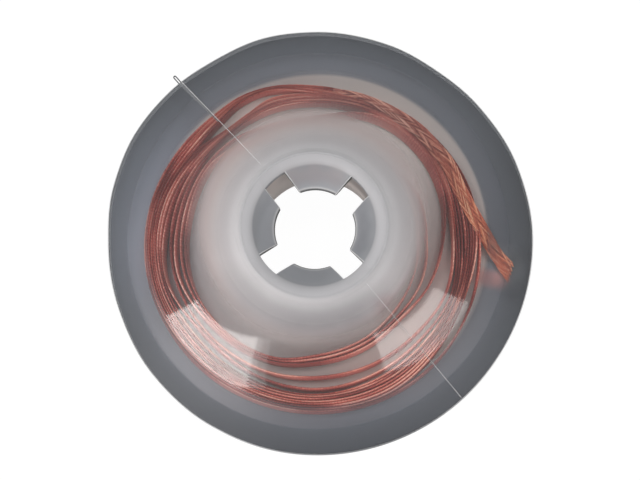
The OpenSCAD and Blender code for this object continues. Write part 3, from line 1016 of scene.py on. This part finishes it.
def winding_places():
    """(point, outward direction, lean, thickness) along the ribbon, from the core's slit out."""
    r, z, lean, thick = braid_state(-START_ANGLE)
    out, back = heading(START_ANGLE)
    rise = UP * z
    places = [(out * d + rise, back, 0.0, thick) for d in spread(CORE_R - LEAD_GRIP, r - LEAD_BEND, 8)]
    bend_at = out * (r - LEAD_BEND) - back * LEAD_BEND
    for k in range(1, 4):
        b = math.radians(22.5 * k)
        n = out * math.sin(b) + back * math.cos(b)
        places.append((bend_at + n * LEAD_BEND + rise, n, lean * k / 4, thick))
    travel = math.degrees(LEAD_BEND / r) - START_ANGLE
    while travel < END_TRAVEL:
        r, z, lean, thick = braid_state(travel)
        out, _ = heading(-travel)
        places.append((out * r + UP * z, out, lean, thick))
        travel += math.degrees(RING_STEP / r)
    return places


def map_rings(piece, sides, place):
    """Give a lofted piece the copper's map: place(ring, side) is a point of the map."""
    uv = piece.data.uv_layers.new(name=UV_NAME)
    for loop in piece.data.loops:
        uv.data[loop.index].uv = place(*divmod(loop.vertex_index, sides))


def braid_winding():
    rings = [ribbon_ring(*place, k * RING_STEP) for k, place in enumerate(winding_places())]
    verts, faces = loft(rings)
    piece = make_piece("braid_winding", verts, faces, woven_material(),
                       "winding", sharp_deg=80)
    sides = len(rings[0])
    map_rings(piece, sides, lambda ring, side: (ring * RING_STEP, math.sin(2 * math.pi * side / sides)))
    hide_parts("braid_coil")


# ---- Braid: the tail ----
# Centre line of the last stretch, which lies on the other turns and runs out to the rim slot
TAIL_POINTS = [
    (2.1, 19.5, 2.5), (5.4, 18.7, 2.7), (8.8, 17.2, 2.95), (11.6, 15.5, 3.15), (13.7, 13.8, 3.3),
    (15.3, 11.9, 3.4), (17.0, 9.8, 3.45), (18.42, 6.7, 3.35), (19.2, 5.1, 3.25), (20.0, 3.5, 3.2),
    (20.95, 1.8, 3.1), (22.0, 0.0, 2.65), (23.05, -1.8, 2.05), (24.1, -3.2, 1.6), (25.2, -4.5, 1.42),
    (25.85, -5.35, 1.42),
]
# How far the tail leans over: (distance along it, degrees)
TAIL_LEAN = [(0.0, 30.0), (8.0, 55.0), (18.0, 72.0), (26.0, 90.0)]
TAIL_STEPS = 136
STRANDS = 8
# Wires of a strand, and how far apart they lie, in turns round the braid
WIRES = 4
WIRE_PITCH = 0.028
WIRE_SIDES = 5
WIRE_R = 0.05
# Length in which a wire goes once round the flat braid
WIRE_LAY = 15.0
# The braid that the wires go round: its half width and half thickness, and how flat a wire's
# way over it is; at each crossing a wire lies over or under the others
TAIL_HALF_W = 0.96
TAIL_HALF_T = 0.085
TAIL_FLATNESS = 0.985
CROSSING_H = 0.035
# The frayed end: its length, how much wider and thicker it is, and how slanting the cut
FRAY_L = 4.0
FRAY_W = 0.35
FRAY_T = 0.08
CUT_SLANT = 0.75
# What differs from strand to strand and from wire to wire, each between two limits
SEED = 7
STRAND_TONE = (0.35, 0.65)
WIRE_TONE = (-0.45, 0.45)
CUT_SHORT = (0, 0.6)
FRAY_DRIFT = (-0.12, 0.12)
FRAY_SPLAY = (0.7, 1.2)


def tail_frames(steps):
    """(centre, across, normal) along the tail, and its length: across spans the flat braid's width."""
    points = [Vector(p) for p in TAIL_POINTS]
    lengths = [0.0]
    for a, b in zip(points, points[1:]):
        lengths.append(lengths[-1] + (b - a).length)
    total = lengths[-1]
    tracks = [[(s, p[axis]) for s, p in zip(lengths, points)] for axis in range(3)]
    centre = [Vector([through(track, total * k / steps) for track in tracks]) for k in range(steps + 1)]
    frames = []
    for k in range(steps + 1):
        ahead = (centre[min(k + 1, steps)] - centre[max(k - 1, 0)]).normalized()
        side = Vector((-ahead.y, ahead.x, 0)).normalized()
        up = ahead.cross(side)
        lean = math.radians(through(TAIL_LEAN, min(TAIL_LEAN[-1][0], total * k / steps)))
        frames.append((centre[k], up * math.cos(lean) + side * math.sin(lean),
                       side * math.cos(lean) - up * math.sin(lean)))
    return frames, total


def wire_path(frames, total, way, offset, short, drift, splay):
    """One wire's (point, across, normal) as it winds round the flat braid and frays at the end."""
    line = []
    for k, (centre, across, normal) in enumerate(frames):
        s = total * k / (len(frames) - 1)
        turn = 2 * math.pi * (offset + way * s / WIRE_LAY)
        fray = smooth_step((s - (total - FRAY_L)) / FRAY_L)
        place = math.asin(TAIL_FLATNESS * math.cos(turn)) / (math.pi / 2)
        if s > total - short - CUT_SLANT * (1 + place):
            break
        wide = place * TAIL_HALF_W * (1 + FRAY_W * fray * splay)
        over = CROSSING_H * way * math.sin(STRANDS * turn / 2)
        thick = (TAIL_HALF_T + over + FRAY_T * fray) * math.sin(turn)
        stray = drift * fray
        line.append((centre + across * (wide + stray) + normal * (thick + 0.5 * stray), across, normal))
    return line


def tail_wires():
    """Points and faces of the tail's wires, and each ring's map place: (tone, distance along)."""
    rng = random.Random(SEED)
    frames, total = tail_frames(TAIL_STEPS)
    corners = [math.radians(360 / WIRE_SIDES * c) for c in range(WIRE_SIDES)]
    parts, marks = [], []
    for way in (1, -1):
        for strand in range(STRANDS):
            strand_tone = rng.uniform(*STRAND_TONE)
            for wire in range(WIRES):
                offset = strand / STRANDS + (wire - (WIRES - 1) / 2) * WIRE_PITCH
                short = rng.uniform(*CUT_SHORT)
                drift = rng.uniform(*FRAY_DRIFT)
                splay = rng.uniform(*FRAY_SPLAY)
                line = wire_path(frames, total, way, offset, short, drift, splay)
                parts.append(loft([
                    [p + (across * math.cos(b) - normal * math.sin(b)) * WIRE_R for b in corners]
                    for p, across, normal in line
                ]))
                tone = strand_tone + rng.uniform(*WIRE_TONE)
                marks += [(tone, total * k / TAIL_STEPS) for k in range(len(line))]
    return *join(*parts), marks


def braid_tail():
    verts, faces, marks = tail_wires()
    piece = make_piece("braid_tail_wires", verts, faces, wire_material(),
                       "winding", sharp_deg=80)
    map_rings(piece, WIRE_SIDES, lambda ring, side: marks[ring])
    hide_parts("braid_tail")


# ---- Stage ----
CAMERA_AT = Vector((9.13, -36.24, 220.0))
CAMERA_TO = Vector((0.314, -0.073, 1.35))
LENS = 94.97
SENSOR_W = 36
NEAR_CLIP = 0.01

WARM = (1.0, 0.95, 0.93)
WHITE = (1.0, 1.0, 1.0)
# Area lamps: name, azimuth and angle from the axis, distance, size (a rectangle's width and
# height, or a disk's width alone), radiance, colour
LAMPS = [
    ("soft_box_left", 216.8, 54.7, 500, (286, 134), 5.8, WARM),
    ("soft_box_left_middle", 218.4, 54.7, 505, (312, 134), 2.2, WARM),
    ("soft_box_left_edge", 220.6, 54.7, 510, (346, 134), 2.2, WARM),
    ("soft_box_right", 322, 54.5, 500, (325, 100), 5.2, WARM),
    ("fill_left", 150, 27, 600, (180,), 6.5, WHITE),
    ("fill_right", 40, 27, 600, (180,), 6.5, WHITE),
]

# The studio's walls are white near the floor and dim higher up, by the upward part of a ray
WHITE_UP_TO = 0.2
DIM_FROM = 0.45
DIM_LEVEL = 0.28

# The floor, in metres: its half side and how far it lies below the part
FLOOR_HALF = 3.0
FLOOR_DROP = 0.00005
FLOOR_GLOW = 1.05
FLOOR_GLOW_SHARE = 0.93
FLOOR_TONE = grey(0.8)


def add_camera():
    data = bpy.data.cameras.new("camera")
    data.lens = LENS
    data.sensor_width = SENSOR_W
    data.clip_start = NEAR_CLIP
    camera = bpy.data.objects.new("camera", data)
    bpy.context.scene.collection.objects.link(camera)
    back = (CAMERA_AT - CAMERA_TO).normalized()
    right = Vector((0, 1, 0)).cross(back).normalized()
    turn = Matrix((right, back.cross(right), back)).transposed().to_4x4()
    camera.matrix_world = Matrix.Translation(CAMERA_AT * MM) @ turn
    bpy.context.scene.camera = camera


def add_lamp(name, azimuth, polar, distance, size, radiance, colour):
    """A soft area lamp of a given brightness that faces the object."""
    data = bpy.data.lights.new(name, "AREA")
    data.color = colour
    data.size = size[0] * MM
    if len(size) == 2:
        data.shape = "RECTANGLE"
        data.size_y = size[1] * MM
        area = size[0] * size[1] * MM**2
    else:
        data.shape = "DISK"
        area = math.pi * (size[0] * MM / 2) ** 2
    data.energy = math.pi * area * radiance
    lamp = bpy.data.objects.new(name, data)
    bpy.context.scene.collection.objects.link(lamp)
    polar = math.radians(polar)
    way = heading(azimuth)[0] * math.sin(polar) + UP * math.cos(polar)
    lamp.location = way * distance * MM
    lamp.rotation_euler = way.to_track_quat("Z", "Y").to_euler()
    lamp.visible_camera = False


def add_world():
    """A dim studio whose walls are white near the floor."""
    world = bpy.data.worlds.new("studio")
    world.use_nodes = True
    bpy.context.scene.world = world
    tree = world.node_tree
    tree.nodes.clear()
    upward = part_node(tree, add(tree, "ShaderNodeTexCoord").outputs["Generated"], "Z")
    walls = add(tree, "ShaderNodeBackground")
    level = switch(tree, upward, WHITE_UP_TO, DIM_FROM, 1.0, DIM_LEVEL)
    feed_all(tree, walls, Color=grey(1.0), Strength=level)
    out = add(tree, "ShaderNodeOutputWorld")
    tree.links.new(walls.outputs[0], out.inputs["Surface"])


def add_floor():
    """A floor that shows white to the camera and in reflections, and keeps a soft shadow."""
    mat, tree = new_material("floor_white")
    path = add(tree, "ShaderNodeLightPath")
    seen = math_node(tree, "MAXIMUM", path.outputs["Is Camera Ray"], path.outputs["Is Glossy Ray"])
    seen = math_node(tree, "MAXIMUM", seen, path.outputs["Is Transmission Ray"])
    share = math_node(tree, "MULTIPLY", seen, FLOOR_GLOW_SHARE)
    matt = feed_all(tree, add(tree, "ShaderNodeBsdfDiffuse"), Color=FLOOR_TONE)
    glow = feed_all(tree, add(tree, "ShaderNodeEmission"), Strength=FLOOR_GLOW)
    finish_surface(tree, mix_shader(tree, share, matt.outputs[0], glow.outputs[0]))
    mesh = bpy.data.meshes.new("floor")
    signs = ((-1, -1), (1, -1), (1, 1), (-1, 1))
    corners = [(x * FLOOR_HALF, y * FLOOR_HALF, -FLOOR_DROP) for x, y in signs]
    mesh.from_pydata(corners, [], [(0, 1, 2, 3)])
    mesh.materials.append(mat)
    floor = bpy.data.objects.new("floor", mesh)
    bpy.context.scene.collection.objects.link(floor)


# ---- Build ----
add_camera()
front_moulding()
rear_moulding()
core_finish()
film_skin()
film_seam()
film_ear()
braid_winding()
braid_tail()
for lamp in LAMPS:
    add_lamp(*lamp)
add_world()
add_floor()
bpy.context.scene.view_settings.view_transform = "Standard"
